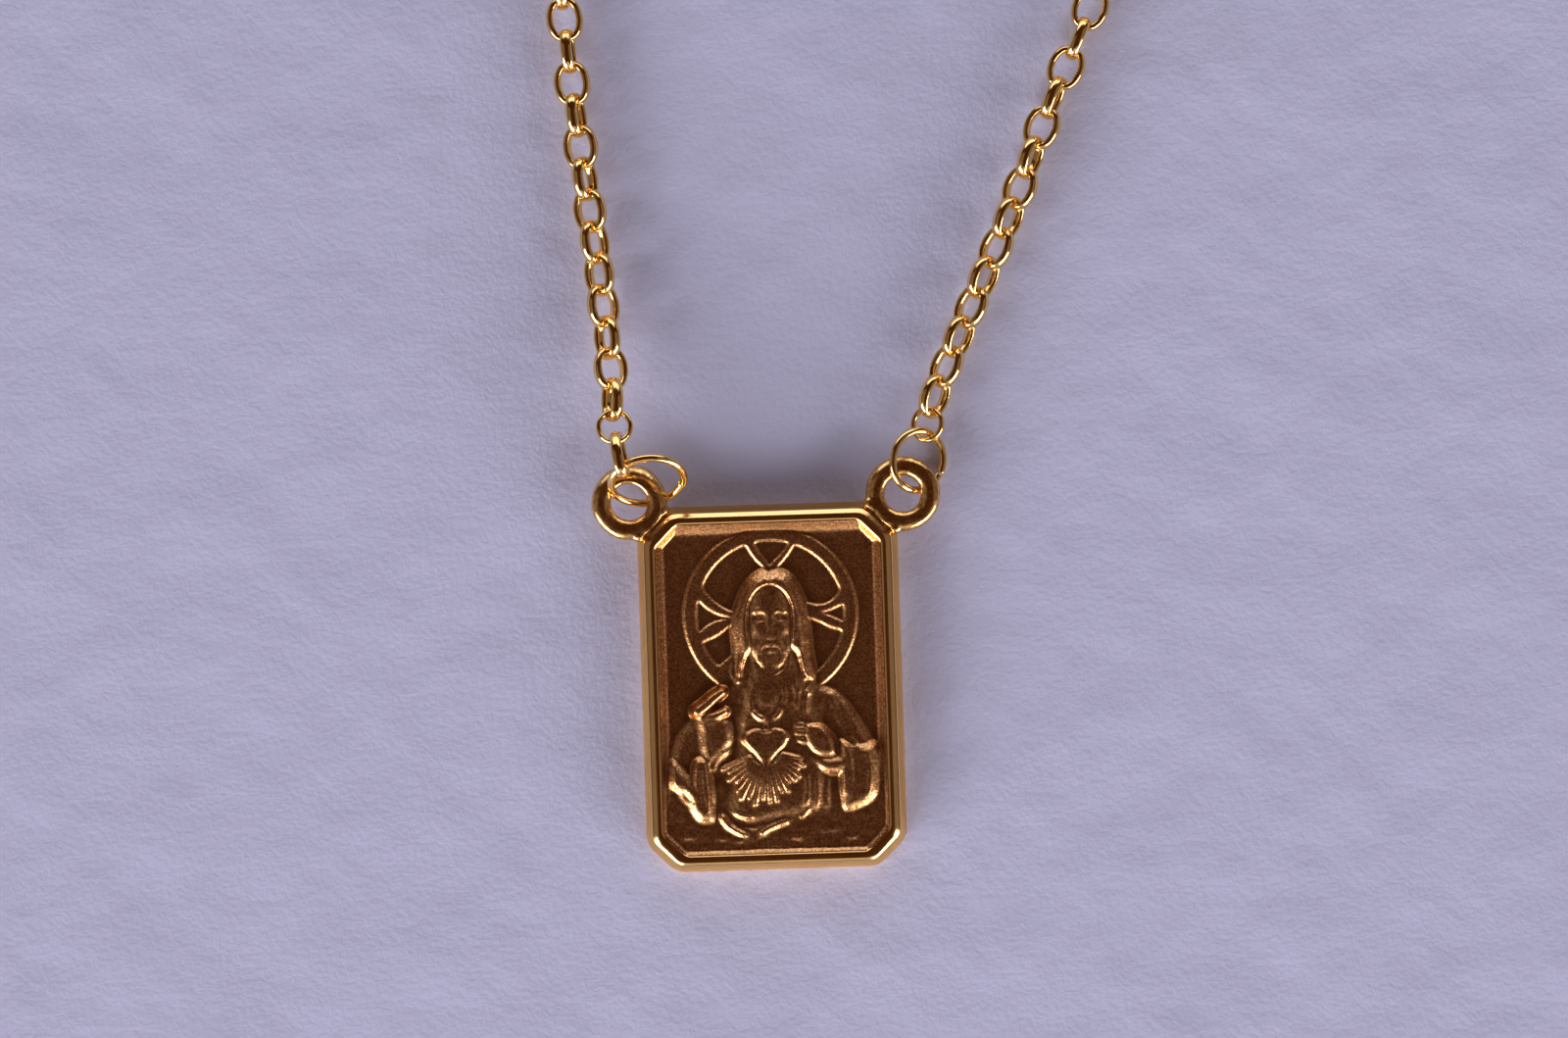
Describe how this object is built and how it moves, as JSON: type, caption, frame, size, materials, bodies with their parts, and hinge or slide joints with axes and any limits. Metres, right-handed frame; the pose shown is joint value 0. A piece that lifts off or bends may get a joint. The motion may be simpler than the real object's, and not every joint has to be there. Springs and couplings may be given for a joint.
{
  "type": "religious medal pendant necklace",
  "caption": "Cast gold rectangular medal with cut corners, raised rim and bust relief, hung by corner ears and jump rings in line with a link chain and clasp.",
  "frame": {"origin": "centre of the medal's flat back, on the surface that the necklace lies on", "axes": "+X across the medal to the viewer's right, +Y up the medal towards the chain, +Z out of its front face"},
  "size_m": [0.0899, 0.2094, 0.0036],
  "materials": {
    "cast_gold": "satin field and relief, polished rim",
    "wire_gold": "polished",
    "chain_gold": "polished"
  },
  "bodies": {
    "root": {"medal": "cast_gold", "jump_ring_left": "wire_gold", "jump_ring_right": "wire_gold", "chain_left_front": "chain_gold", "chain_left_back": "chain_gold", "chain_right_front": "chain_gold", "chain_right_back": "chain_gold", "clasp": "wire_gold"}
  },
  "joints": []
}
